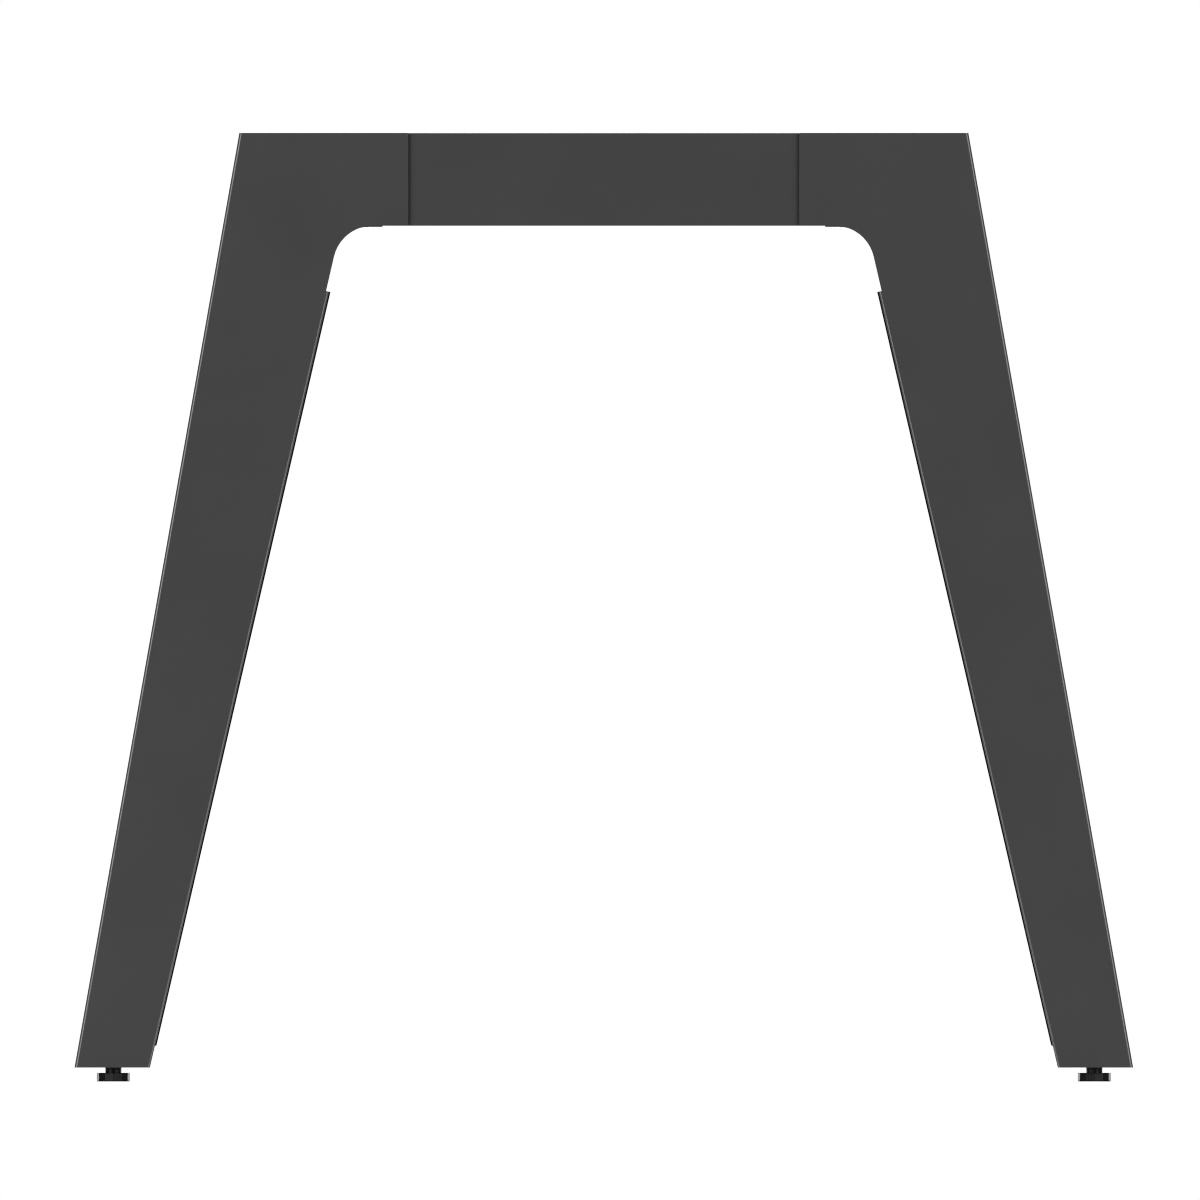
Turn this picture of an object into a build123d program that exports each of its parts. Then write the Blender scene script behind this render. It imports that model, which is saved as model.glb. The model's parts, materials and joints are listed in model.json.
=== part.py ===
from build123d import *
import math
import os

# A-shaped desk leg. Two legs folded from sheet steel lap over a crossbar tube.
# Frame: origin on the floor midway between the feet, +X across the frame, +Z up.
# The plain show face looks towards -Y, the covers and beam fixings are on +Y.

# ---- driving dimensions (mm) ----
total_height = 715.5  # floor to the seat of the desk top, feet screwed in
foot_height = 10.5  # floor to the lower edge of the legs
top_half_width = 275.0  # half width over the legs at the top edge
outer_lean = 10.0  # lean of the outer edges from vertical, degrees
inner_lean = 13.0  # lean of the inner edges from vertical, degrees
inner_half_base = 342.4  # half distance between the inner walls at the lower edge

sheet = 2.0  # sheet thickness of the legs
cover_sheet = 1.5  # sheet thickness of the covers
bend_in = 0.3  # inside bend radius
bend_out = bend_in + sheet  # outside bend radius
lip = 15.0  # width of the return lips, over the bend
lip_hole = 9.0  # lip hole centre from the wall's outer face

bar_height = 70.0  # crossbar tube
bar_depth = 40.0
bar_wall = 2.0
bar_corner = 1.0
bar_end_gap = 0.6  # weld gap between the tube's mitred end and the outer wall

arm_end = 147.6  # half distance between the arm ends
corner_radius = 30.0  # inner corner between arm and leg
inner_wall_top = 596.3  # height where the inner wall stops
outer_lip_top = 640.5  # height where the outer lip stops, just under the tube
bend_relief = 1.5  # notch where the lip stops and the wall runs on

cover_arm_end = 167.0  # half distance between the covers' arm ends
cover_bottom = 26.8  # lower edge of the covers
cover_top = 715.0
cover_overhang = 1.1  # how far a cover stands past the inner wall
cover_setback = 0.4  # how far a cover stays behind the outer wall
cover_drop = 0.8  # how far a cover's arm hangs below the crossbar

foot_x = 370.0  # half distance between the feet
bracket_sheet = 3.0  # foot bracket
bracket_base = 12.0
bracket_top = 32.0

stud_d = 8.0  # M8 levelling stud
stud_top = 38.0
stud_head_d = 11.0
stud_head_z = (2.0, 4.0)
thread_play = 0.06  # radial play between stud and nut
mould_play = 0.02  # radial play of the stud in its pad
pad_d = 25.0  # over the corners
pad_flats = 12
pad_height = 6.5
collar_d = 12.3
collar_top = 11.7

foot_nut_af = 14.0  # M8 weld nut
foot_nut_h = 6.5
foot_nut_pilot_d = 10.45

screw_d = 5.0  # M5 button-head cover screws
screw_len = 10.0
screw_head_d = 9.5
screw_head_h = 2.75
screw_socket_af = 3.0
screw_clear_d = 5.5
cover_nut_af = 9.0  # M5 weld nuts behind the lips
cover_nut_h = 4.0
screw_heights = (62.0, 310.0, 558.0)
arm_screw_x = 215.0

top_hole_d = 7.0  # holes for the desk top's screws, with access holes below
access_hole_d = 14.0
top_hole_x = (60.0, 130.0)

beam_x = 110.0  # M8 rivet nuts for the desk's long beams
beam_dz = 17.5
rivet_body_d = 11.0
rivet_flange_d = 15.0
rivet_flange_h = 1.2
rivet_bulge_d = 13.6
rivet_bulge_len = 3.5
rivet_len = 14.0
rivet_bore_d = 6.8

# ---- derived geometry ----
tan_o = math.tan(math.radians(outer_lean))
tan_i = math.tan(math.radians(inner_lean))
cos_o = math.cos(math.radians(outer_lean))
cos_i = math.cos(math.radians(inner_lean))
sin_i = math.sin(math.radians(inner_lean))

half_depth = bar_depth / 2
front_y = -half_depth - sheet  # show face of the legs
lip_y = half_depth  # back face of the lips and of the crossbar
cover_y = half_depth + cover_sheet  # back face of the covers
bar_bottom = total_height - bar_height
bar_mid = total_height - bar_height / 2


def outer_x(z, inset=0.0):
    """x of the outer wall's outer face at height z, moved in square to the wall."""
    return top_half_width + (total_height - z) * tan_o - inset / cos_o


def inner_x(z, inset=0.0):
    """x of the inner wall's outer face at height z, moved in square to the wall."""
    return inner_half_base - (z - foot_height) * tan_i + inset / cos_i


def leg_quad(inset, z_low, z_high):
    """Leg outline, moved in from both walls, between two heights."""
    return [
        (inner_x(z_low, inset), z_low),
        (outer_x(z_low, inset), z_low),
        (outer_x(z_high, inset), z_high),
        (inner_x(z_high, inset), z_high),
    ]


def along(point, inward, up):
    """A point moved along the inner edge (up) and square to it (inward to the frame's middle)."""
    return (
        point[0] - inward * cos_i - up * sin_i,
        point[1] - inward * sin_i + up * cos_i,
    )


def upright(y):
    """Sketch plane at depth y: x to the right, z up, facing -Y."""
    return Plane.XZ.offset(-y)


# point on the bend line where the inner wall stops
wall_stop = (inner_x(inner_wall_top, bend_out), inner_wall_top)

lip_points = [(outer_x(z, lip_hole), z) for z in screw_heights] + [
    (inner_x(z, lip_hole), z) for z in screw_heights
]
cover_points = lip_points + [(arm_screw_x, bar_mid)]

os.makedirs("parts", exist_ok=True)

# ---- right leg: folded shell ----
# hollow of the folded channel, with the inside bend radii
with BuildPart() as channel_hollow:
    with BuildSketch(upright(lip_y - sheet)):
        with BuildLine():
            Polyline(*leg_quad(sheet, foot_height - 8, total_height + 8), close=True)
        make_face()
    extrude(amount=bar_depth - sheet)
    fillet(channel_hollow.edges().filter_by(lambda e: e.length > 600), bend_in)

with BuildPart() as right_leg_shell:
    # closed box over the outside of the folds
    with BuildSketch(upright(lip_y)):
        with BuildLine():
            Polyline(*leg_quad(0, foot_height, total_height), close=True)
        make_face()
    extrude(amount=bar_depth + sheet)
    fillet(right_leg_shell.edges().filter_by(lambda e: e.length > 600), bend_out)
    add(channel_hollow.part, mode=Mode.SUBTRACT)
    # the back is open between the lips
    with BuildSketch(upright(lip_y + 1)):
        with BuildLine():
            Polyline(*leg_quad(lip, foot_height - 8, total_height + 8), close=True)
        make_face()
    extrude(amount=sheet + 2, mode=Mode.SUBTRACT)
    # above its stop the inner wall is cut away with its lip, square to the edge
    with BuildSketch(upright(lip_y + 1)):
        with BuildLine():
            Polyline(
                along(wall_stop, -lip - 3, 0),
                along(wall_stop, 12, 0),
                along(wall_stop, 12, 200),
                along(wall_stop, -lip - 3, 200),
                close=True,
            )
        make_face()
    extrude(amount=bar_depth + 1, mode=Mode.SUBTRACT)
    # and the front plate is trimmed back to the bend line there
    with BuildSketch(upright(lip_y + 1)):
        with BuildLine():
            Polyline(
                wall_stop,
                along(wall_stop, 12, 0),
                along(wall_stop, 12, 200),
                along(wall_stop, 0, 200),
                close=True,
            )
        make_face()
    extrude(amount=bar_depth + sheet + 2, mode=Mode.SUBTRACT)
    # the outer lip stops under the crossbar
    with BuildSketch(upright(lip_y + 1)):
        with BuildLine():
            Polyline(
                (200, outer_lip_top),
                (420, outer_lip_top),
                (420, total_height + 8),
                (200, total_height + 8),
                close=True,
            )
        make_face()
    extrude(amount=bend_out + 1, mode=Mode.SUBTRACT)
    # above a bend relief the wall itself runs on flat to the cover
    with BuildSketch(upright(lip_y)):
        with BuildLine():
            Polyline(
                (outer_x(outer_lip_top + bend_relief, sheet), outer_lip_top + bend_relief),
                (outer_x(outer_lip_top + bend_relief), outer_lip_top + bend_relief),
                (outer_x(total_height), total_height),
                (outer_x(total_height, sheet), total_height),
                close=True,
            )
        make_face()
    extrude(amount=bend_out + 1)
    # arm over the crossbar, with the round inner corner
    with BuildSketch(upright(-half_depth)) as arm_plate:
        with BuildLine():
            Polyline(
                (arm_end, total_height),
                (outer_x(total_height, 4), total_height),
                (outer_x(600, 4), 600),
                (inner_x(600, bend_out), 600),
                (inner_x(bar_bottom, bend_out), bar_bottom),
                (arm_end, bar_bottom),
                close=True,
            )
        make_face()
        corner = Vector(inner_x(bar_bottom, bend_out), bar_bottom)
        fillet(
            arm_plate.vertices().sort_by(lambda v: (v.center() - corner).length)[0],
            corner_radius,
        )
    extrude(amount=sheet)
    # holes in the lips for the cover screws
    with BuildSketch(upright(lip_y + 1)):
        with Locations(*lip_points):
            Circle(screw_clear_d / 2)
    extrude(amount=sheet + 2, mode=Mode.SUBTRACT)

# ---- crossbar tube ----
with BuildPart() as crossbar_tube:
    with BuildSketch(Plane.YZ):
        with Locations((0, bar_mid)):
            RectangleRounded(bar_depth, bar_height, bar_corner)
            RectangleRounded(
                bar_depth - 2 * bar_wall,
                bar_height - 2 * bar_wall,
                bar_corner / 2,
                mode=Mode.SUBTRACT,
            )
    extrude(amount=top_half_width + 40, both=True)
    # ends mitred to follow the outer walls
    end_inset = sheet + bar_end_gap
    with BuildSketch(upright(0)):
        with BuildLine():
            Polyline(
                (-outer_x(bar_bottom - 1, end_inset), bar_bottom - 1),
                (outer_x(bar_bottom - 1, end_inset), bar_bottom - 1),
                (outer_x(total_height + 1, end_inset), total_height + 1),
                (-outer_x(total_height + 1, end_inset), total_height + 1),
                close=True,
            )
        make_face()
    extrude(amount=bar_depth, both=True, mode=Mode.INTERSECT)
    top_points = [(s * x, 0) for x in top_hole_x for s in (-1, 1)]
    # screw holes in the top wall
    with BuildSketch(Plane.XY.offset(total_height + 1)):
        with Locations(*top_points):
            Circle(top_hole_d / 2)
    extrude(amount=-bar_wall - 2, mode=Mode.SUBTRACT)
    # wider holes in the lower wall, for the screwdriver
    with BuildSketch(Plane.XY.offset(bar_bottom - 1)):
        with Locations(*top_points):
            Circle(access_hole_d / 2)
    extrude(amount=bar_wall + 2, mode=Mode.SUBTRACT)
    # holes for the rivet nuts in the back wall
    beam_points = [
        (sx * beam_x, bar_mid + sz * beam_dz) for sx in (-1, 1) for sz in (-1, 1)
    ]
    with BuildSketch(upright(lip_y + 1)):
        with Locations(*beam_points):
            Circle(rivet_body_d / 2 + 0.05)
    extrude(amount=bar_wall + 2, mode=Mode.SUBTRACT)
    # tapped holes for the covers' arm screws
    with BuildSketch(upright(lip_y + 1)):
        with Locations((-arm_screw_x, bar_mid), (arm_screw_x, bar_mid)):
            Circle(screw_d / 2 + 0.05)
    extrude(amount=bar_wall + 2, mode=Mode.SUBTRACT)

# ---- right rear cover ----
with BuildPart() as right_rear_cover:
    hidden_x = inner_x(bar_bottom - cover_drop, bend_out + 2.5)
    with BuildSketch(upright(cover_y)) as cover_outline:
        with BuildLine():
            Polyline(
                (cover_arm_end, cover_top),
                (outer_x(cover_top, cover_setback), cover_top),
                (outer_x(cover_bottom, cover_setback), cover_bottom),
                (inner_x(cover_bottom, -cover_overhang), cover_bottom),
                along(wall_stop, bend_out + cover_overhang, 0),
                along(wall_stop, -2.5, 0),
                (hidden_x, bar_bottom - cover_drop),
                (cover_arm_end, bar_bottom - cover_drop),
                close=True,
            )
        make_face()
        corner = Vector(hidden_x, bar_bottom - cover_drop)
        fillet(
            cover_outline.vertices().sort_by(lambda v: (v.center() - corner).length)[0],
            corner_radius,
        )
        # square corners of the blank are eased
        ends = [
            Vector(cover_arm_end, cover_top),
            Vector(outer_x(cover_bottom, cover_setback), cover_bottom),
            Vector(inner_x(cover_bottom, -cover_overhang), cover_bottom),
        ]
        for end in ends:
            fillet(
                cover_outline.vertices().sort_by(lambda v: (v.center() - end).length)[
                    0
                ],
                1.5,
            )
        with Locations(*cover_points):
            Circle(screw_clear_d / 2, mode=Mode.SUBTRACT)
    extrude(amount=cover_sheet)

# ---- right foot bracket: folded U across the bottom of the leg ----
with BuildPart() as right_foot_bracket:
    low, high = bracket_base, bracket_top
    floor_top = bracket_base + bracket_sheet
    inside = sheet + bracket_sheet
    with BuildSketch(upright(half_depth - 3.0)) as bracket_section:
        with BuildLine():
            Polyline(
                (inner_x(low, sheet), low),
                (outer_x(low, sheet), low),
                (outer_x(high, sheet), high),
                (outer_x(high, inside), high),
                (outer_x(floor_top, inside), floor_top),
                (inner_x(floor_top, inside), floor_top),
                (inner_x(high, inside), high),
                (inner_x(high, sheet), high),
                close=True,
            )
        make_face()
        fillet(bracket_section.vertices().group_by(Axis.Y)[0], 4.0)
        fillet(
            bracket_section.vertices().filter_by(
                lambda v: abs(v.Y - floor_top) < 0.01
            ),
            1.0,
        )
    extrude(amount=bar_depth - 4.5)
    with BuildSketch(Plane.XY.offset(bracket_base - 1)):
        with Locations((foot_x, 0)):
            Circle(foot_nut_pilot_d / 2 + 0.075)
    extrude(amount=bracket_sheet + 2, mode=Mode.SUBTRACT)

# ---- right foot nut: hexagon weld nut with a pilot collar ----
with BuildPart() as right_foot_nut:
    with BuildSketch(Plane.XY.offset(floor_top)):
        with Locations((foot_x, 0)):
            RegularPolygon(foot_nut_af / 2, 6, major_radius=False)
    extrude(amount=foot_nut_h)
    chamfer(right_foot_nut.edges().group_by(Axis.Z)[-1], 0.5)
    with BuildSketch(Plane.XY.offset(floor_top)):
        with Locations((foot_x, 0)):
            Circle(foot_nut_pilot_d / 2)
    extrude(amount=-1.4)
    with BuildSketch(Plane.XY.offset(floor_top - 2)):
        with Locations((foot_x, 0)):
            Circle(stud_d / 2 + thread_play)
    extrude(amount=foot_nut_h + 4, mode=Mode.SUBTRACT)

# ---- right levelling stud: round head held in the pad, shank with a lead chamfer ----
foot_axis = Axis((foot_x, 0, 0), (0, 0, 1))
foot_plane = Plane((foot_x, 0, 0), x_dir=(1, 0, 0), z_dir=(0, -1, 0))
with BuildPart() as right_levelling_stud:
    with BuildSketch(foot_plane):
        with BuildLine():
            Polyline(
                (0, stud_head_z[0]),
                (stud_head_d / 2, stud_head_z[0]),
                (stud_head_d / 2, stud_head_z[1]),
                (stud_d / 2, stud_head_z[1]),
                (stud_d / 2, stud_top - 1.0),
                (stud_d / 2 - 1.0, stud_top),
                (0, stud_top),
                close=True,
            )
        make_face()
    revolve(axis=foot_axis)

# ---- right glide pad: moulded foot with twelve grip flats and a round collar ----
with BuildPart() as right_glide_pad:
    with BuildSketch():
        with Locations((foot_x, 0)):
            RegularPolygon(pad_d / 2, pad_flats)
    extrude(amount=pad_height)
    fillet(right_glide_pad.edges().filter_by(Axis.Z), 0.8)
    chamfer(right_glide_pad.edges().group_by(Axis.Z)[0], 0.6)
    fillet(right_glide_pad.edges().group_by(Axis.Z)[-1], 0.5)
    with BuildSketch(Plane.XY.offset(pad_height)):
        with Locations((foot_x, 0)):
            Circle(collar_d / 2)
    extrude(amount=collar_top - pad_height)
    chamfer(right_glide_pad.edges().group_by(Axis.Z)[-1], 0.4)
    # room for the moulded-in stud
    with BuildSketch(Plane.XY.offset(stud_head_z[0])):
        with Locations((foot_x, 0)):
            Circle(stud_head_d / 2 + mould_play)
    extrude(amount=stud_head_z[1] - stud_head_z[0], mode=Mode.SUBTRACT)
    with BuildSketch(Plane.XY.offset(stud_head_z[0])):
        with Locations((foot_x, 0)):
            Circle(stud_d / 2 + mould_play)
    extrude(amount=collar_top, mode=Mode.SUBTRACT)

# ---- right cover screws: button heads with a hexagon socket ----
with BuildPart() as right_cover_screws:
    with BuildSketch(upright(cover_y)):
        with Locations(*cover_points):
            Circle(screw_head_d / 2)
    extrude(amount=-screw_head_h)
    fillet(
        right_cover_screws.edges().filter_by(GeomType.CIRCLE).group_by(Axis.Y)[-1], 2.2
    )
    with BuildSketch(upright(cover_y)):
        with Locations(*cover_points):
            Circle(screw_d / 2)
    extrude(amount=screw_len)
    with BuildSketch(upright(cover_y + screw_head_h)):
        with Locations(*cover_points):
            RegularPolygon(screw_socket_af / 2, 6, major_radius=False)
    extrude(amount=1.6, mode=Mode.SUBTRACT)

# ---- right cover nuts: hexagon weld nuts behind the lips ----
with BuildPart() as right_cover_nuts:
    with BuildSketch(upright(lip_y - sheet)):
        with Locations(*lip_points):
            RegularPolygon(cover_nut_af / 2, 6, major_radius=False)
            Circle(screw_d / 2 + 0.05, mode=Mode.SUBTRACT)
    extrude(amount=cover_nut_h)

# ---- rivet nuts for the beams ----
with BuildPart() as beam_rivet_nuts:
    with BuildSketch(upright(lip_y)):
        with Locations(*beam_points):
            Circle(rivet_flange_d / 2)
    extrude(amount=-rivet_flange_h)
    fillet(
        beam_rivet_nuts.edges().filter_by(GeomType.CIRCLE).group_by(Axis.Y)[-1], 0.4
    )
    with BuildSketch(upright(lip_y)):
        with Locations(*beam_points):
            Circle(rivet_body_d / 2)
    extrude(amount=rivet_len)
    # bulge that clamps the tube wall from inside
    with BuildSketch(upright(lip_y - bar_wall)):
        with Locations(*beam_points):
            Circle(rivet_bulge_d / 2)
    extrude(amount=rivet_bulge_len)
    with BuildSketch(upright(lip_y + rivet_flange_h)):
        with Locations(*beam_points):
            Circle(rivet_bore_d / 2)
    extrude(amount=rivet_flange_h + rivet_len, mode=Mode.SUBTRACT)

# ---- left side: mirror images ----
with BuildPart() as left_leg_shell:
    mirror(right_leg_shell.part, about=Plane.YZ)
with BuildPart() as left_rear_cover:
    mirror(right_rear_cover.part, about=Plane.YZ)
with BuildPart() as left_foot_bracket:
    mirror(right_foot_bracket.part, about=Plane.YZ)
with BuildPart() as left_foot_nut:
    mirror(right_foot_nut.part, about=Plane.YZ)
with BuildPart() as left_levelling_stud:
    mirror(right_levelling_stud.part, about=Plane.YZ)
with BuildPart() as left_glide_pad:
    mirror(right_glide_pad.part, about=Plane.YZ)
with BuildPart() as left_cover_screws:
    mirror(right_cover_screws.part, about=Plane.YZ)
with BuildPart() as left_cover_nuts:
    mirror(right_cover_nuts.part, about=Plane.YZ)

# ---- write the pieces ----
left_leg_shell.part.label = "left_leg_shell"
export_step(left_leg_shell.part, "parts/left_leg_shell.step")
right_leg_shell.part.label = "right_leg_shell"
export_step(right_leg_shell.part, "parts/right_leg_shell.step")
crossbar_tube.part.label = "crossbar_tube"
export_step(crossbar_tube.part, "parts/crossbar_tube.step")
left_rear_cover.part.label = "left_rear_cover"
export_step(left_rear_cover.part, "parts/left_rear_cover.step")
right_rear_cover.part.label = "right_rear_cover"
export_step(right_rear_cover.part, "parts/right_rear_cover.step")
left_foot_bracket.part.label = "left_foot_bracket"
export_step(left_foot_bracket.part, "parts/left_foot_bracket.step")
right_foot_bracket.part.label = "right_foot_bracket"
export_step(right_foot_bracket.part, "parts/right_foot_bracket.step")
left_foot_nut.part.label = "left_foot_nut"
export_step(left_foot_nut.part, "parts/left_foot_nut.step")
right_foot_nut.part.label = "right_foot_nut"
export_step(right_foot_nut.part, "parts/right_foot_nut.step")
left_levelling_stud.part.label = "left_levelling_stud"
export_step(left_levelling_stud.part, "parts/left_levelling_stud.step")
right_levelling_stud.part.label = "right_levelling_stud"
export_step(right_levelling_stud.part, "parts/right_levelling_stud.step")
left_glide_pad.part.label = "left_glide_pad"
export_step(left_glide_pad.part, "parts/left_glide_pad.step")
right_glide_pad.part.label = "right_glide_pad"
export_step(right_glide_pad.part, "parts/right_glide_pad.step")
left_cover_screws.part.label = "left_cover_screws"
export_step(left_cover_screws.part, "parts/left_cover_screws.step")
right_cover_screws.part.label = "right_cover_screws"
export_step(right_cover_screws.part, "parts/right_cover_screws.step")
left_cover_nuts.part.label = "left_cover_nuts"
export_step(left_cover_nuts.part, "parts/left_cover_nuts.step")
right_cover_nuts.part.label = "right_cover_nuts"
export_step(right_cover_nuts.part, "parts/right_cover_nuts.step")
beam_rivet_nuts.part.label = "beam_rivet_nuts"
export_step(beam_rivet_nuts.part, "parts/beam_rivet_nuts.step")
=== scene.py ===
import json
import math

import bmesh
import bpy
from mathutils import Matrix, Vector

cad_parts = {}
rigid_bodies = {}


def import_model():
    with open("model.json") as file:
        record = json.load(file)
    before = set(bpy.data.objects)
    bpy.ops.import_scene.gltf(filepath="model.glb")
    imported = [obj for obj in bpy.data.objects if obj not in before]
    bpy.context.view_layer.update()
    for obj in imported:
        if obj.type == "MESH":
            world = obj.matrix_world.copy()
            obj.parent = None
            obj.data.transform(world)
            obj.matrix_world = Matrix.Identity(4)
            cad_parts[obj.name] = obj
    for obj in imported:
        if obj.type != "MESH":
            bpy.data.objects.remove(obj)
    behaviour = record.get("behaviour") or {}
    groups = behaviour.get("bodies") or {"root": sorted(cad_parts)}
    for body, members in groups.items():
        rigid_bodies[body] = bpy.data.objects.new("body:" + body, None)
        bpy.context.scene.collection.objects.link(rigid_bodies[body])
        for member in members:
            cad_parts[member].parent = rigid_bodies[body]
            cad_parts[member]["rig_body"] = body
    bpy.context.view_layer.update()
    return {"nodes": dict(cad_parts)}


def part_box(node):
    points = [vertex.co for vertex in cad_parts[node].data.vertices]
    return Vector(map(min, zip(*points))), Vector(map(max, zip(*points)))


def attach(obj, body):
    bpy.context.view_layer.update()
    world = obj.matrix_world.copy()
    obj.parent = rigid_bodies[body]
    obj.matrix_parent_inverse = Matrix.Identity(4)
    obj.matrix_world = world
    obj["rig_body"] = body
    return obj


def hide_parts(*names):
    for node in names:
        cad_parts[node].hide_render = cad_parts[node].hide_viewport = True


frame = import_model()

MM = 0.001
SIDES = (("left", -1.0), ("right", 1.0))


# ------------------------------------------------------------------ materials


def new_material(name):
    m = bpy.data.materials.new(name)
    m.use_nodes = True
    nt = m.node_tree
    nt.nodes.clear()
    out = nt.nodes.new("ShaderNodeOutputMaterial")
    bsdf = nt.nodes.new("ShaderNodeBsdfPrincipled")
    nt.links.new(bsdf.outputs["BSDF"], out.inputs["Surface"])
    coord = nt.nodes.new("ShaderNodeTexCoord")
    return m, nt, bsdf, coord.outputs["Object"]


def noise(nt, vector, scale, detail=2.0, rough=0.5):
    n = nt.nodes.new("ShaderNodeTexNoise")
    n.inputs["Scale"].default_value = scale
    n.inputs["Detail"].default_value = detail
    n.inputs["Roughness"].default_value = rough
    nt.links.new(vector, n.inputs["Vector"])
    return n.outputs["Fac"]


def span(nt, value, low, high, from_low=0.3, from_high=0.7):
    """The value mapped to a range of numbers."""
    n = nt.nodes.new("ShaderNodeMapRange")
    n.inputs["From Min"].default_value = from_low
    n.inputs["From Max"].default_value = from_high
    n.inputs["To Min"].default_value = low
    n.inputs["To Max"].default_value = high
    nt.links.new(value, n.inputs["Value"])
    return n.outputs["Result"]


def tints(nt, value, stops):
    n = nt.nodes.new("ShaderNodeValToRGB")
    ramp = n.color_ramp
    while len(ramp.elements) < len(stops):
        ramp.elements.new(0.5)
    for e, (pos, col) in zip(ramp.elements, stops):
        e.position = pos
        e.color = (*col, 1.0)
    nt.links.new(value, n.inputs["Fac"])
    return n.outputs["Color"]


def bump(nt, height, strength, distance, below=None):
    n = nt.nodes.new("ShaderNodeBump")
    n.inputs["Strength"].default_value = strength
    n.inputs["Distance"].default_value = distance
    nt.links.new(height, n.inputs["Height"])
    if below is not None:
        nt.links.new(below, n.inputs["Normal"])
    return n.outputs["Normal"]


def added(nt, a, b, wa=1.0, wb=1.0):
    n = nt.nodes.new("ShaderNodeMath")
    n.operation = "MULTIPLY_ADD"
    n.inputs[1].default_value = wa
    nt.links.new(a, n.inputs[0])
    k = nt.nodes.new("ShaderNodeMath")
    k.operation = "MULTIPLY"
    k.inputs[1].default_value = wb
    nt.links.new(b, k.inputs[0])
    nt.links.new(k.outputs[0], n.inputs[2])
    return n.outputs[0]


def blended(nt, kind, a, b, fac=None):
    n = nt.nodes.new("ShaderNodeMix")
    n.data_type = "RGBA"
    n.blend_type = kind
    n.inputs[0].default_value = 1.0
    if fac is not None:
        nt.links.new(fac, n.inputs[0])
    nt.links.new(a, n.inputs[6])
    nt.links.new(b, n.inputs[7])
    return n.outputs[2]


def coated(name, dark, mid, light, rough, peel, grain, gleam=0.5, outside=None):
    """Baked powder coat: fine texture in the surface, a soft even sheen, faint cloudiness; painted
    shade in corners and, with back-face tones given, on the front face and edges.
    """
    m, nt, b, at = new_material(name)
    cloud = noise(nt, at, 9.0, 3.0)
    speck = noise(nt, at, 1900.0, 2.0, 0.6)
    tone = added(nt, cloud, speck, 0.4, 0.6)
    colour = tints(nt, tone, [(0.30, dark), (0.5, mid), (0.70, light)])
    if outside is not None:
        # painted shade: the front face and edges keep far darker tones than the back face, so the
        # strip beside the inner wall reads as a dark shade line
        facing = nt.nodes.new("ShaderNodeSeparateXYZ")
        normal = nt.nodes.new("ShaderNodeTexCoord")
        nt.links.new(normal.outputs["Normal"], facing.inputs[0])
        back_face_colour = tints(
            nt, tone, [(0.30, outside[0]), (0.5, outside[1]), (0.70, outside[2])]
        )
        colour = blended(
            nt, "MIX", colour, back_face_colour, span(nt, facing.outputs["Y"], 0.0, 1.0, 0.6, 0.9)
        )
    # painted shade: the base colour is darkened by ambient occlusion within 7 mm, in corners,
    # seams and recesses
    painted_shade = nt.nodes.new("ShaderNodeAmbientOcclusion")
    painted_shade.samples = 8
    painted_shade.inputs["Distance"].default_value = 0.007
    nt.links.new(colour, painted_shade.inputs["Color"])
    # painted shade multiplied into the base colour
    colour_with_painted_shade = blended(nt, "MULTIPLY", painted_shade.outputs["Color"], painted_shade.outputs["AO"])
    nt.links.new(colour_with_painted_shade, b.inputs["Base Color"])
    gloss = added(nt, noise(nt, at, 14.0, 2.0), noise(nt, at, 1300.0, 1.0), 0.5, 0.5)
    nt.links.new(
        span(nt, gloss, rough - 0.035, rough + 0.035), b.inputs["Roughness"]
    )
    orange = bump(nt, noise(nt, at, 430.0, 2.0, 0.4), peel, 0.00012)
    fine = bump(nt, noise(nt, at, 1500.0, 3.0, 0.55), grain, 0.00006, orange)
    nt.links.new(fine, b.inputs["Normal"])
    b.inputs["IOR"].default_value = 1.5
    b.inputs["Specular IOR Level"].default_value = gleam
    return m


def grey(v):
    return (v, v, v)


powder_coat = coated(
    "powder_coat", grey(0.0194), grey(0.0211), grey(0.0228), 0.34, 0.06, 0.10
)
black_coat = coated(
    "black_coat",
    grey(0.0022),
    grey(0.0027),
    grey(0.0033),
    0.44,
    0.08,
    0.14,
    0.2,
    # back face tones; the darker tones above, on the front face and edges, are painted shade
    (grey(0.0085), grey(0.0100), grey(0.0115)),
)


def make_zinc():
    """Bright zinc plating with a faint blue and straw cast and drawn-out scuffs."""
    m, nt, b, at = new_material("zinc_plate")
    tone = added(nt, noise(nt, at, 160.0, 3.0), noise(nt, at, 900.0, 2.0), 0.7, 0.3)
    nt.links.new(
        tints(
            nt,
            tone,
            [
                (0.34, (0.42, 0.44, 0.47)),
                (0.5, (0.52, 0.52, 0.51)),
                (0.66, (0.58, 0.56, 0.50)),
            ],
        ),
        b.inputs["Base Color"],
    )
    nt.links.new(
        span(nt, noise(nt, at, 700.0, 3.0), 0.24, 0.42), b.inputs["Roughness"]
    )
    nt.links.new(
        bump(nt, noise(nt, at, 2600.0, 2.0), 0.10, 0.00004), b.inputs["Normal"]
    )
    b.inputs["Metallic"].default_value = 1.0
    return m


def make_black_screw():
    """Black-oxide steel: oily dark sheen, a little uneven."""
    m, nt, b, at = new_material("black_screw")
    tone = added(nt, noise(nt, at, 420.0, 3.0), noise(nt, at, 2400.0, 2.0), 0.6, 0.4)
    nt.links.new(
        tints(
            nt,
            tone,
            [
                (0.32, (0.030, 0.031, 0.034)),
                (0.5, (0.042, 0.042, 0.044)),
                (0.68, (0.058, 0.056, 0.054)),
            ],
        ),
        b.inputs["Base Color"],
    )
    nt.links.new(
        span(nt, noise(nt, at, 900.0, 3.0), 0.27, 0.41), b.inputs["Roughness"]
    )
    nt.links.new(
        bump(nt, noise(nt, at, 3000.0, 2.0), 0.10, 0.00003), b.inputs["Normal"]
    )
    b.inputs["Metallic"].default_value = 0.85
    return m


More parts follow.
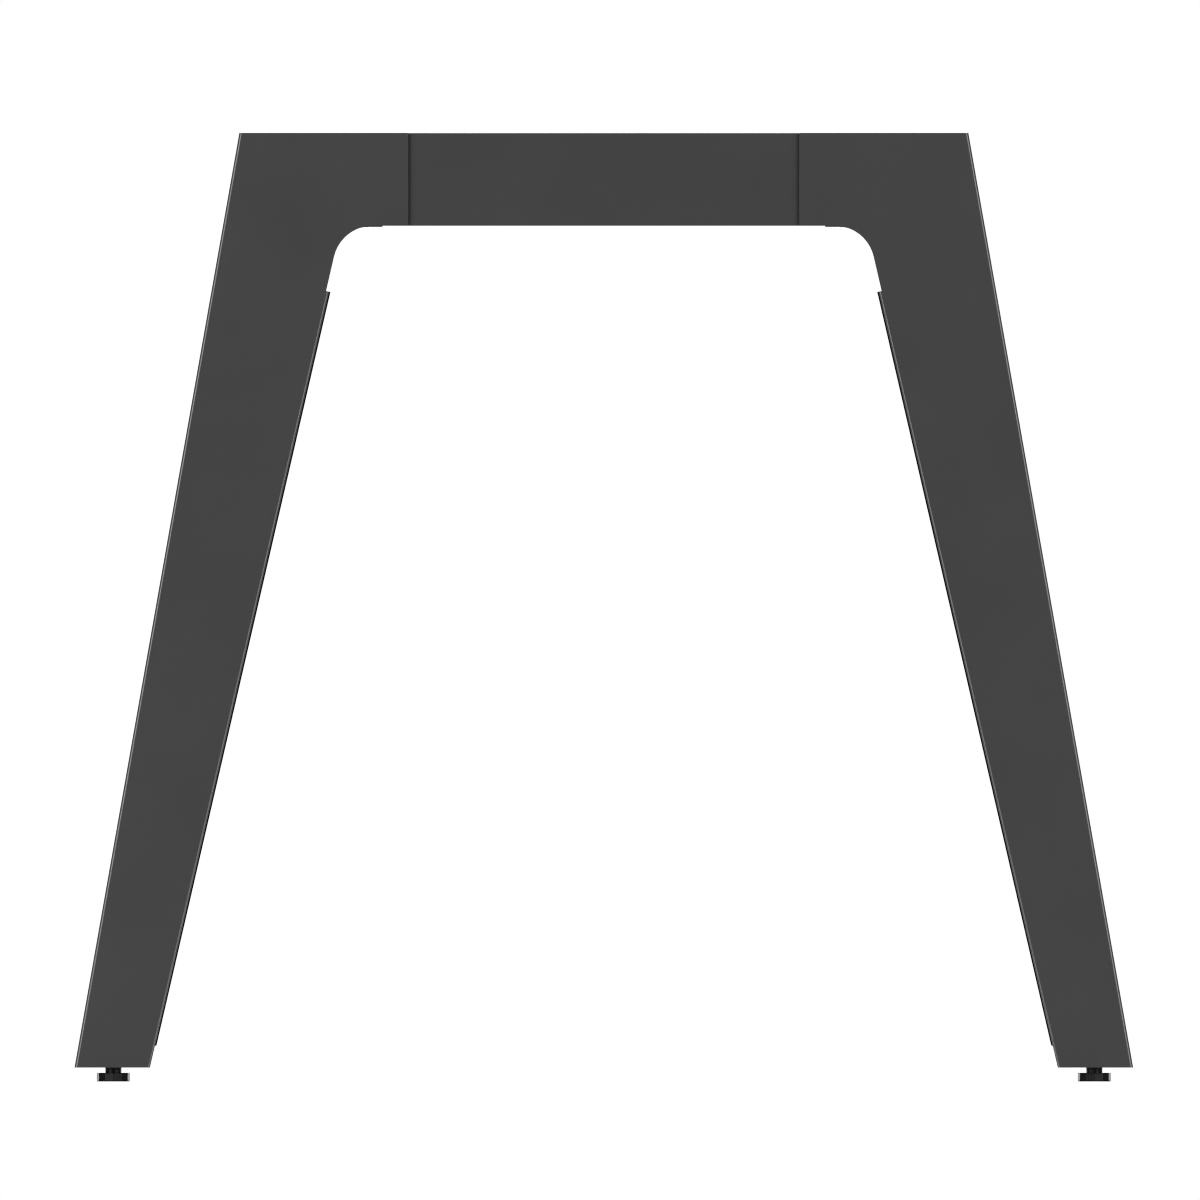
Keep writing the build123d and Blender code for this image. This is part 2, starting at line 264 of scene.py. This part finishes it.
def make_nylon():
    """Moulded black nylon, smooth from a polished mould, with faint flow marks."""
    m, nt, b, at = new_material("black_nylon")
    tone = added(nt, noise(nt, at, 120.0, 3.0), noise(nt, at, 1500.0, 2.0), 0.6, 0.4)
    nt.links.new(
        tints(
            nt,
            tone,
            [(0.32, grey(0.0027)), (0.5, grey(0.0033)), (0.68, grey(0.0040))],
        ),
        b.inputs["Base Color"],
    )
    nt.links.new(
        span(nt, noise(nt, at, 480.0, 3.0), 0.30, 0.38), b.inputs["Roughness"]
    )
    nt.links.new(
        bump(nt, noise(nt, at, 900.0, 2.0), 0.06, 0.00005), b.inputs["Normal"]
    )
    b.inputs["IOR"].default_value = 1.53
    b.inputs["Specular IOR Level"].default_value = 0.13
    return m


zinc_plate = make_zinc()
black_screw = make_black_screw()
black_nylon = make_nylon()
LOOK = {
    "powder_coat": powder_coat,
    "black_coat": black_coat,
    "zinc_plate": zinc_plate,
    "black_screw": black_screw,
    "black_nylon": black_nylon,
}


# ------------------------------------------------------------------ mesh helpers


def object_from(bm, name, slot, body, *nodes):
    """A finished piece from a bmesh, with its finish, its body and the nodes it stands for."""
    me = bpy.data.meshes.new(name)
    bm.to_mesh(me)
    bm.free()
    me.materials.append(LOOK[slot])
    o = bpy.data.objects.new(name, me)
    bpy.context.scene.collection.objects.link(o)
    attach(o, body)
    if nodes:
        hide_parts(*nodes)
    return o


def shade(o, angle):
    """Smooth shading, with hard edges above an angle in degrees."""
    o.data.shade_smooth()
    o.data.set_sharp_from_angle(angle=math.radians(angle))
    return o


def welded_copy(node):
    """The node's mesh with its faces joined into one skin and flat areas made whole."""
    bm = bmesh.new()
    bm.from_mesh(frame["nodes"][node].data)
    bmesh.ops.remove_doubles(bm, verts=bm.verts, dist=2e-6)
    bmesh.ops.dissolve_limit(
        bm,
        angle_limit=math.radians(0.6),
        verts=bm.verts,
        edges=bm.edges,
        delimit=set(),
    )
    bmesh.ops.recalc_face_normals(bm, faces=bm.faces)
    return bm


def eased(node, name, slot, width, segments=3, angle=28.0):
    """A sheet-metal piece with its cut edges eased, as under a coat."""
    o = object_from(
        welded_copy(node), name, slot, frame["nodes"][node]["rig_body"], node
    )
    o.data.shade_smooth()
    b = o.modifiers.new("eased_edges", "BEVEL")
    b.width = width
    b.segments = segments
    b.limit_method = "ANGLE"
    b.angle_limit = math.radians(angle)
    b.use_clamp_overlap = False
    b.loop_slide = False
    b.harden_normals = True
    w = o.modifiers.new("even_faces", "WEIGHTED_NORMAL")
    w.keep_sharp = True
    w.weight = 100
    return o


# ------------------------------------------------------------------ turned and threaded parts


def ring(r, z, n):
    """A circle of points about the axis."""
    return [
        (r * math.cos(2 * math.pi * i / n), r * math.sin(2 * math.pi * i / n), z)
        for i in range(n)
    ]


def hex_reach(flats, a):
    """Middle to edge of a hexagon in direction a, with corners at 0, 60 ... degrees."""
    return flats / 2 / math.cos(a % (math.pi / 3) - math.pi / 6)


def hex_ring(flats, z, n, turn=0, cone=None, grow=0.0):
    """A hexagon of points; with a cone (radius, rise) its corners are turned down."""
    points = []
    for i in range(n):
        a = 2 * math.pi * i / n
        r = hex_reach(flats, a + 2 * math.pi * turn / n) + grow
        dz = max(0.0, r - cone[0]) * cone[1] if cone else 0.0
        points.append((r * math.cos(a), r * math.sin(a), z + dz))
    return points


def skin(bm, rows, at):
    """Faces between rings of points; a ring of one point is a tip."""
    made = [[bm.verts.new(at @ (Vector(p) * MM)) for p in row] for row in rows]
    for a, b in zip(made, made[1:]):
        n = max(len(a), len(b))
        for i in range(n):
            j = (i + 1) % n
            loop = [a[i % len(a)], a[j % len(a)], b[j % len(b)], b[i % len(b)]]
            loop = list(dict.fromkeys(loop))
            if len(loop) > 2:
                bm.faces.new(loop)


def thread(bm, outer, inner, pitch, low, high, mouths, n, at):
    """A right-hand thread between two heights, run out to a plain ring at each end."""
    marks = ((0.0, outer), (0.125, outer), (0.4375, inner), (0.6875, inner))
    first = math.floor(low / pitch) - 2
    last = math.ceil(high / pitch) + 2
    outside = mouths[0] < outer
    columns = []
    for i in range(n):
        a = 2 * math.pi * i / n
        column = []
        for t in range(first, last):
            for f, r in marks:
                z = pitch * (t + f + i / n)
                if z <= low:
                    z, r = low, mouths[0]
                elif z >= high:
                    z, r = high, mouths[1]
                elif outside:
                    r = min(r, mouths[0] + z - low, mouths[1] + high - z)
                else:
                    r = max(r, mouths[0] - z + low, mouths[1] - high + z)
                v = Vector((r * math.cos(a), r * math.sin(a), z))
                column.append(bm.verts.new(at @ (v * MM)))
        columns.append(column)
    for i in range(n):
        j = (i + 1) % n
        shift = len(marks) if j == 0 else 0
        a, b = columns[i], columns[j]
        for k in range(len(a) - 1 - shift):
            bm.faces.new((a[k], a[k + 1], b[k + 1 + shift], b[k + shift]))


def closed(bm):
    """Rings that meet are joined, and every face looks outwards."""
    bmesh.ops.remove_doubles(bm, verts=bm.verts, dist=1e-6)
    bmesh.ops.dissolve_degenerate(bm, edges=bm.edges, dist=1e-7)
    loose = [v for v in bm.verts if not v.link_faces]
    bmesh.ops.delete(bm, geom=loose, context="VERTS")
    bmesh.ops.recalc_face_normals(bm, faces=bm.faces)
    return bm


def upwards(x, y):
    """Local z along +Z."""
    return Matrix.Translation((x, y, 0.0))


def backwards(x, z):
    """Local z along +Y, the way the fixings on the back point."""
    return Matrix(((1, 0, 0, x), (0, 0, 1, 0), (0, -1, 0, z), (0, 0, 0, 1)))


def places(node):
    """The middles, in x and z, of the separate solids of a node."""
    bm = bmesh.new()
    bm.from_mesh(frame["nodes"][node].data)
    bmesh.ops.remove_doubles(bm, verts=bm.verts, dist=2e-6)
    todo, found = set(bm.verts), []
    while todo:
        grow, island = [todo.pop()], []
        while grow:
            v = grow.pop()
            island.append(v.co.copy())
            for e in v.link_edges:
                w = e.other_vert(v)
                if w in todo:
                    todo.discard(w)
                    grow.append(w)
        xs, zs = [c.x for c in island], [c.z for c in island]
        found.append(((min(xs) + max(xs)) / 2, (min(zs) + max(zs)) / 2))
    bm.free()
    return sorted(found)


def centre(node):
    low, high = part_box(node)
    return (low[0] + high[0]) / 2, (low[1] + high[1]) / 2


def make_stud(side):
    """M8 levelling stud: round head in the pad, plain neck, thread with a lead at its end."""
    n, at = 36, upwards(*centre(f"{side}_levelling_stud"))
    bm = bmesh.new()
    low = [(5.35, 2.0), (5.5, 2.15), (5.5, 3.85), (5.35, 4.0), (3.98, 4.0), (3.98, 10.4)]
    skin(bm, [[(0, 0, 2.0)]] + [ring(r, z, n) for r, z in low + [(3.2, 11.1)]], at)
    thread(bm, 3.98, 3.23, 1.25, 11.1, 38.0, (3.2, 2.95), n, at)
    skin(bm, [ring(2.95, 38.0, n), ring(2.0, 38.0, n), [(0, 0, 38.0)]], at)
    return shade(
        object_from(
            closed(bm),
            f"{side}_threaded_stud",
            "zinc_plate",
            f"{side}_foot",
            f"{side}_levelling_stud",
        ),
        32,
    )


def make_foot_nut(side):
    """M8 weld nut: hexagon with turned-down corners, pilot collar, tapped through."""
    n, at = 72, upwards(*centre(f"{side}_foot_nut"))
    bm = bmesh.new()
    rows = [ring(r, z, n) for r, z in ((4.35, 13.6), (5.05, 13.6), (5.22, 13.77))]
    rows += [ring(5.22, 15.0, n), hex_ring(14.0, 15.0, n)]
    rows += [hex_ring(14.0, 21.5, n, cone=(6.75, -0.577))]
    rows += [ring(6.75, 21.5, n), ring(4.5, 21.5, n)]
    skin(bm, rows, at)
    thread(bm, 4.06, 3.34, 1.25, 13.6, 21.5, (4.35, 4.5), n, at)
    return shade(
        object_from(
            closed(bm), f"{side}_weld_nut", "zinc_plate", "frame", f"{side}_foot_nut"
        ),
        32,
    )


def make_screws(side):
    """M5 button-head screws, each with its socket turned a little differently."""
    n = 48
    bm = bmesh.new()
    for k, (x, z) in enumerate(places(f"{side}_cover_screws")):
        at, turn = backwards(x, z), (k * 5 + 3) % 8
        skin(bm, [[(0, 0, 11.5)], ring(1.0, 11.5, n), ring(1.75, 11.5, n)], at)
        thread(bm, 2.48, 2.01, 0.8, 11.5, 20.8, (1.75, 1.9), n, at)
        rows = [ring(1.9, 20.8, n), ring(2.48, 21.2, n), ring(2.48, 21.5, n)]
        rows += [ring(4.62, 21.5, n), ring(4.75, 21.63, n), ring(4.75, 22.05, n)]
        for step in range(1, 11):
            a = math.pi / 2 * step / 10
            rows.append(ring(2.55 + 2.2 * math.cos(a), 22.05 + 2.2 * math.sin(a), n))
        rows += [ring(2.05, 24.25, n), hex_ring(3.0, 24.25, n, turn, grow=0.12)]
        rows += [hex_ring(3.0, 24.13, n, turn), hex_ring(3.0, 22.7, n, turn)]
        rows += [ring(0.6, 22.45, n), [(0, 0, 22.3)]]
        skin(bm, rows, at)
    return shade(
        object_from(
            closed(bm),
            f"{side}_button_screws",
            "black_screw",
            "frame",
            f"{side}_cover_screws",
        ),
        32,
    )


def make_cover_nuts(side):
    """M5 weld nuts behind the lips."""
    n = 48
    bm = bmesh.new()
    for x, z in places(f"{side}_cover_nuts"):
        at = backwards(x, z)
        rows = [ring(2.75, 14.0, n), ring(4.3, 14.0, n)]
        rows += [hex_ring(9.0, 14.0, n, cone=(4.3, 0.577)), hex_ring(9.0, 18.0, n)]
        rows += [ring(2.75, 18.0, n)]
        skin(bm, rows, at)
        thread(bm, 2.54, 2.08, 0.8, 14.0, 18.0, (2.75, 2.75), n, at)
    return shade(
        object_from(
            closed(bm),
            f"{side}_lip_nuts",
            "zinc_plate",
            "frame",
            f"{side}_cover_nuts",
        ),
        32,
    )


def make_rivet_nuts():
    """M8 rivet nuts: thin flange, tapped body, and the bulge that clamps the tube wall."""
    n = 60
    bm = bmesh.new()
    body = [(4.2, 6.0), (5.3, 6.0), (5.5, 6.2), (5.5, 14.0), (5.62, 14.35)]
    body += [(6.05, 14.8), (6.55, 15.5), (6.8, 16.3), (6.78, 17.1), (6.55, 17.7)]
    body += [(6.2, 18.0), (5.5, 18.0), (5.5, 20.0), (7.3, 20.0), (7.45, 20.1)]
    body += [(7.5, 20.25), (7.5, 20.8)]
    for step in range(1, 6):
        a = math.pi / 2 * step / 5
        body.append((7.1 + 0.4 * math.cos(a), 20.8 + 0.4 * math.sin(a)))
    body += [(4.45, 21.2)]
    for x, z in places("beam_rivet_nuts"):
        at = backwards(x, z)
        skin(bm, [ring(r, y, n) for r, y in body], at)
        thread(bm, 4.02, 3.4, 1.25, 6.0, 21.2, (4.2, 4.45), n, at)
    return shade(
        object_from(
            closed(bm), "rivet_nuts", "zinc_plate", "frame", "beam_rivet_nuts"
        ),
        32,
    )


# ------------------------------------------------------------------ welds


def bead(bm, start, end, across, up, width, height):
    """A run of weld along a line: overlapping ripples, rounded off at both ends."""
    a, b = Vector(start), Vector(end)
    line = b - a
    length = line.length
    line.normalize()
    across, up = Vector(across).normalized(), Vector(up).normalized()
    step = 1.3
    count = max(10, int(length / step * 5))
    rows = []
    for k in range(count + 1):
        d = length * k / count
        crest = 1.0 - 0.22 * (d / step % 1.0) ** 2
        edge = min(1.0, min(d, length - d) / (0.8 * width))
        fade = math.sqrt(max(0.0, 1.0 - (1.0 - edge) ** 2))
        w, h = width / 2 * fade * (0.5 + 0.5 * crest), height * fade * crest
        mid = a + line * d
        if fade < 1e-6:
            rows.append([tuple(mid)])
            continue
        row = []
        for i in range(10):
            c, t = math.cos(math.pi * i / 5), math.sin(math.pi * i / 5)
            # the root sinks only a little into the joint
            row.append(tuple(mid + across * (w * c) + up * (h * max(t, 0.35 * t))))
        rows.append(row)
    skin(bm, rows, Matrix.Identity(4))


def make_welds(side, s):
    """Welds of one leg: the crossbar into the leg, the arm onto the crossbar, the foot bracket."""
    bm = bmesh.new()
    tilt_o, tilt_i = math.radians(10.0), math.radians(13.0)
    bar_low, bar_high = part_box("crossbar_tube")
    top, bottom = bar_high[2] / MM, bar_low[2] / MM
    leg_low, leg_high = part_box(f"{side}_leg_shell")
    wide = max(abs(leg_low[0]), abs(leg_high[0])) / MM
    leg_z = leg_low[2] / MM
    bracket_low, bracket_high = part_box(f"{side}_foot_bracket")
    seat = bracket_low[2] / MM

    def wall(z, inset):
        """x of the outer wall's outer face at a height, moved in square to it."""
        return wide - (z - leg_z) * math.tan(tilt_o) - inset / math.cos(tilt_o)

    # the mitred end of the crossbar, dressed down just under the top
    bead(
        bm,
        (s * wall(top, 2.3), -19.4, top - 0.75),
        (s * wall(top, 2.3), 19.4, top - 0.75),
        (1, 0, 0),
        (0, 0, 1),
        1.7,
        0.62,
    )
    # the same end from below, inside the leg: a fillet in the corner under the crossbar
    bead(
        bm,
        (s * wall(bottom, 2.4), -18.0, bottom - 0.4),
        (s * wall(bottom, 2.4), 18.0, bottom - 0.4),
        (s * 0.766, 0, -0.643),
        (-s * 0.643, 0, -0.766),
        4.6,
        1.6,
    )
    # stitches along the arm, in the grooves over and under the crossbar's round corners
    for x in (163.0, 207.0, 251.0):
        bead(
            bm,
            (s * (x - 9.0), -19.75, top - 0.72),
            (s * (x + 9.0), -19.75, top - 0.72),
            (0, 1, 0),
            (0, 0, 1),
            1.8,
            0.6,
        )
    for x in (158.0, 192.0):
        bead(
            bm,
            (s * (x - 7.0), -19.75, bottom + 0.72),
            (s * (x + 7.0), -19.75, bottom + 0.72),
            (0, 1, 0),
            (0, 0, -1),
            1.8,
            0.6,
        )
    # the foot bracket's rounded folds against both walls
    inner_x = min(abs(bracket_low[0]), abs(bracket_high[0])) / MM
    bead(
        bm,
        (s * (wall(seat, 2.0) - 0.9), -16.5, seat + 1.0),
        (s * (wall(seat, 2.0) - 0.9), 15.0, seat + 1.0),
        (s, 0, 0.3),
        (-s * 0.3, 0, -1),
        3.6,
        1.5,
    )
    run = (bracket_high[2] - bracket_low[2]) / MM * math.tan(tilt_i)
    foot_in = inner_x + run
    bead(
        bm,
        (s * (foot_in + 0.9), -16.5, seat + 1.0),
        (s * (foot_in + 0.9), 15.0, seat + 1.0),
        (s, 0, -0.3),
        (s * 0.3, 0, -1),
        3.6,
        1.5,
    )
    return shade(
        object_from(closed(bm), f"{side}_weld_runs", "powder_coat", "frame"), 60
    )


# ------------------------------------------------------------------ pieces

for side, s in SIDES:
    eased(f"{side}_leg_shell", f"{side}_folded_leg", "powder_coat", 0.16 * MM)
    eased(f"{side}_rear_cover", f"{side}_cover_plate", "black_coat", 0.16 * MM)
    eased(f"{side}_foot_bracket", f"{side}_bracket", "powder_coat", 0.3 * MM)
    make_stud(side)
    make_foot_nut(side)
    make_screws(side)
    make_cover_nuts(side)
    make_welds(side, s)
eased("crossbar_tube", "crossbar", "powder_coat", 0.16 * MM)
make_rivet_nuts()

for node, o in frame["nodes"].items():
    slot = o.data.materials[0].name.split(".")[0]
    if slot in LOOK:
        o.data.materials[0] = LOOK[slot]


# ------------------------------------------------------------------ stage, light, camera


def make_floor():
    bm = bmesh.new()
    bmesh.ops.create_circle(bm, cap_ends=True, segments=96, radius=2.1)
    me = bpy.data.meshes.new("floor")
    bm.to_mesh(me)
    bm.free()
    m, nt, b, at = new_material("floor_paint")
    nt.links.new(
        tints(nt, noise(nt, at, 3.0, 3.0), [(0.3, grey(0.385)), (0.7, grey(0.405))]),
        b.inputs["Base Color"],
    )
    b.inputs["Roughness"].default_value = 0.8
    b.inputs["Specular IOR Level"].default_value = 0.2
    # the floor fades out into the white paper around it, and is open from below
    out = next(n for n in nt.nodes if n.type == "OUTPUT_MATERIAL")
    away = nt.nodes.new("ShaderNodeVectorMath")
    away.operation = "LENGTH"
    nt.links.new(at, away.inputs[0])
    fade = nt.nodes.new("ShaderNodeMapRange")
    fade.interpolation_type = "SMOOTHSTEP"
    fade.inputs["From Min"].default_value = 0.9
    fade.inputs["From Max"].default_value = 2.0
    nt.links.new(away.outputs["Value"], fade.inputs["Value"])
    under = nt.nodes.new("ShaderNodeNewGeometry")
    most = nt.nodes.new("ShaderNodeMath")
    most.operation = "MAXIMUM"
    nt.links.new(fade.outputs["Result"], most.inputs[0])
    nt.links.new(under.outputs["Backfacing"], most.inputs[1])
    clear = nt.nodes.new("ShaderNodeBsdfTransparent")
    mix = nt.nodes.new("ShaderNodeMixShader")
    nt.links.new(most.outputs[0], mix.inputs["Fac"])
    nt.links.new(b.outputs["BSDF"], mix.inputs[1])
    nt.links.new(clear.outputs["BSDF"], mix.inputs[2])
    nt.links.new(mix.outputs[0], out.inputs["Surface"])
    me.materials.append(m)
    o = bpy.data.objects.new("floor", me)
    bpy.context.scene.collection.objects.link(o)
    return o


make_floor()


def softbox(name, at, to, width, height, radiance):
    d = bpy.data.lights.new(name, "AREA")
    d.shape = "RECTANGLE"
    d.size, d.size_y = width, height
    d.energy = math.pi * width * height * radiance
    o = bpy.data.objects.new(name, d)
    bpy.context.scene.collection.objects.link(o)
    o.location = at
    o.rotation_mode = "QUATERNION"
    o.rotation_quaternion = (Vector(to) - Vector(at)).to_track_quat("-Z", "Y")
    o.visible_camera = False
    return o


aim = (0.0, 0.0, 0.36)
feet = bpy.data.collections.new("feet")
bends = bpy.data.collections.new("bends")
pieces = bpy.data.collections.new("pieces")
behind = bpy.data.collections.new("behind")
for side, s in SIDES:
    feet.objects.link(frame["nodes"][f"{side}_glide_pad"])
    bends.objects.link(bpy.data.objects[f"{side}_folded_leg"])
bends.objects.link(bpy.data.objects["crossbar"])
for o in bpy.context.scene.objects:
    if o.type == "MESH" and o.name != "floor":
        pieces.objects.link(o)
    if o.type == "MESH" and not o.name.endswith("_folded_leg"):
        behind.objects.link(o)
for side, s in SIDES:
    softbox(
        f"{side}_front_box",
        (s * 1.70, -1.40, 1.12),
        (0.0, 0.0, 1.12),
        0.9,
        2.2,
        9.5 - 0.7 * s,
    )
    # low lights from behind draw the rims of the small black feet
    rim = softbox(
        f"{side}_rim_box", (s * 1.5, 2.6, 0.65), (s * 0.2, 0.0, 0.65), 1.4, 1.3, 5.8
    )
    rim.light_linking.receiver_collection = feet
    # the front light goes on below the floor, so that the bends gleam down to the feet
    low = softbox(
        f"{side}_low_box",
        (s * 2.05, -0.85, -0.56),
        (0.0, 0.0, -0.56),
        0.9,
        1.1,
        5.7,
    )
    low.light_linking.receiver_collection = bends
    low.light_linking.blocker_collection = pieces
foot_box = softbox("foot_box", (0.11, -0.75, 0.12), (0.11, 0.0, 0.0), 0.34, 0.3, 3.4)
foot_box.light_linking.receiver_collection = feet
# the back light leaves out the legs' walls, where it would only glare along them
back_box = softbox("back_box", (0.0, 2.3, 2.3), aim, 3.2, 1.6, 4.2)
back_box.light_linking.receiver_collection = behind
softbox("top_box", (0.0, 0.0, 3.0), aim, 2.6, 2.6, 2.4)

world = bpy.data.worlds.new("studio")
bpy.context.scene.world = world
world.use_nodes = True
nt = world.node_tree
nt.nodes.clear()
out = nt.nodes.new("ShaderNodeOutputWorld")
mix = nt.nodes.new("ShaderNodeMixShader")
path = nt.nodes.new("ShaderNodeLightPath")
room = nt.nodes.new("ShaderNodeBackground")
room.inputs["Color"].default_value = (1.0, 1.0, 1.0, 1.0)
room.inputs["Strength"].default_value = 0.25
paper = nt.nodes.new("ShaderNodeBackground")
paper.inputs["Color"].default_value = (1.0, 1.0, 1.0, 1.0)
paper.inputs["Strength"].default_value = 1.0
nt.links.new(path.outputs["Is Camera Ray"], mix.inputs["Fac"])
nt.links.new(room.outputs[0], mix.inputs[1])
nt.links.new(paper.outputs[0], mix.inputs[2])
nt.links.new(mix.outputs[0], out.inputs["Surface"])

cam_data = bpy.data.cameras.new("camera")
cam_data.type = "ORTHO"
cam_data.ortho_scale = 0.9052
cam_data.clip_start, cam_data.clip_end = 0.05, 50.0
cam = bpy.data.objects.new("camera", cam_data)
bpy.context.scene.collection.objects.link(cam)
cam.location = (-0.0029, -3.0, 0.3632)
cam.rotation_euler = (math.pi / 2, 0.0, 0.0)
bpy.context.scene.camera = cam

bpy.context.scene.cycles.filter_width = 1.1

view = bpy.context.scene.view_settings
view.view_transform = "Standard"
view.look = "None"
view.exposure = 0.0
view.gamma = 1.0

# ------------------------------------------------------------------ final update

bpy.context.view_layer.update()
